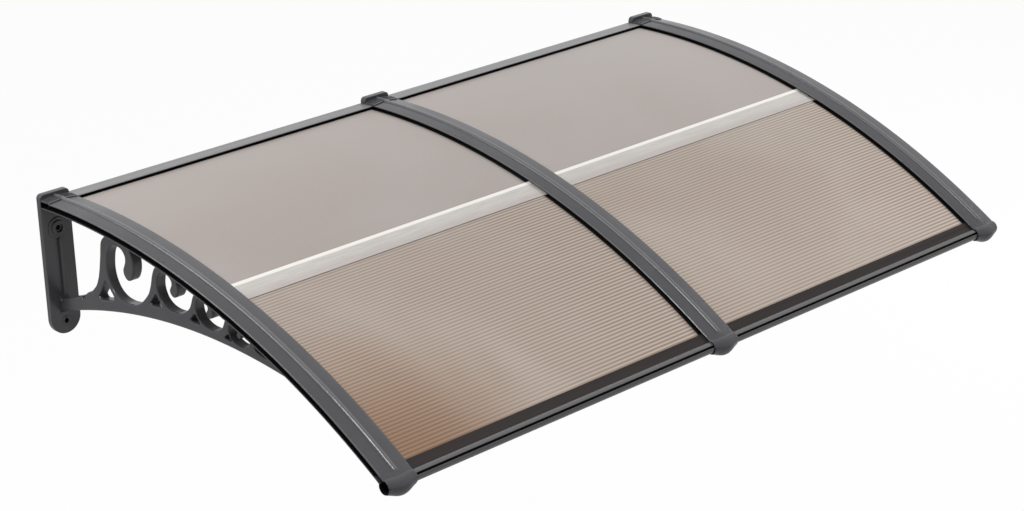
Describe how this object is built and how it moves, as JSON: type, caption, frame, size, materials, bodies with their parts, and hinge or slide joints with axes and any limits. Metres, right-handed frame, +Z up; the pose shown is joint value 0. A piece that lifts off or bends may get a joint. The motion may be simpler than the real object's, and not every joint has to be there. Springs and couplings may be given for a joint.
{
  "type": "polycarbonate door canopy",
  "caption": "Arched twin-wall sheet canopy held along a wall by moulded scroll brackets, with front and rear bars and a joiner across each bay.",
  "frame": {"origin": "on the back of the middle wall plate, halfway between its two fixing holes", "axes": "+X along the wall to the right as seen from outside, +Y into the wall, +Z up; the canopy reaches out towards -Y"},
  "size_m": [1.562, 0.938, 0.2825],
  "materials": {
    "bracket_plastic": "satin",
    "bar_aluminium": "dark satin coating",
    "bronze_sheet": "translucent, smooth",
    "frosted_joiner": "translucent, frosted",
    "screw_steel": "zinc plated"
  },
  "bodies": {
    "root": {"bracket_left": "bracket_plastic", "bracket_middle": "bracket_plastic", "bracket_right": "bracket_plastic", "sheet_rear_left": "bronze_sheet", "sheet_rear_right": "bronze_sheet", "sheet_front_left": "bronze_sheet", "sheet_front_right": "bronze_sheet", "joiner_left": "frosted_joiner", "joiner_right": "frosted_joiner", "rear_bar_left": "bar_aluminium", "rear_bar_right": "bar_aluminium", "front_bar_left": "bar_aluminium", "front_bar_right": "bar_aluminium", "screw_rear_left_a": "screw_steel", "screw_rear_left_b": "screw_steel", "screw_rear_right_a": "screw_steel", "screw_rear_right_b": "screw_steel", "screw_front_left_a": "screw_steel", "screw_front_left_b": "screw_steel", "screw_front_right_a": "screw_steel", "screw_front_right_b": "screw_steel"}
  },
  "joints": []
}
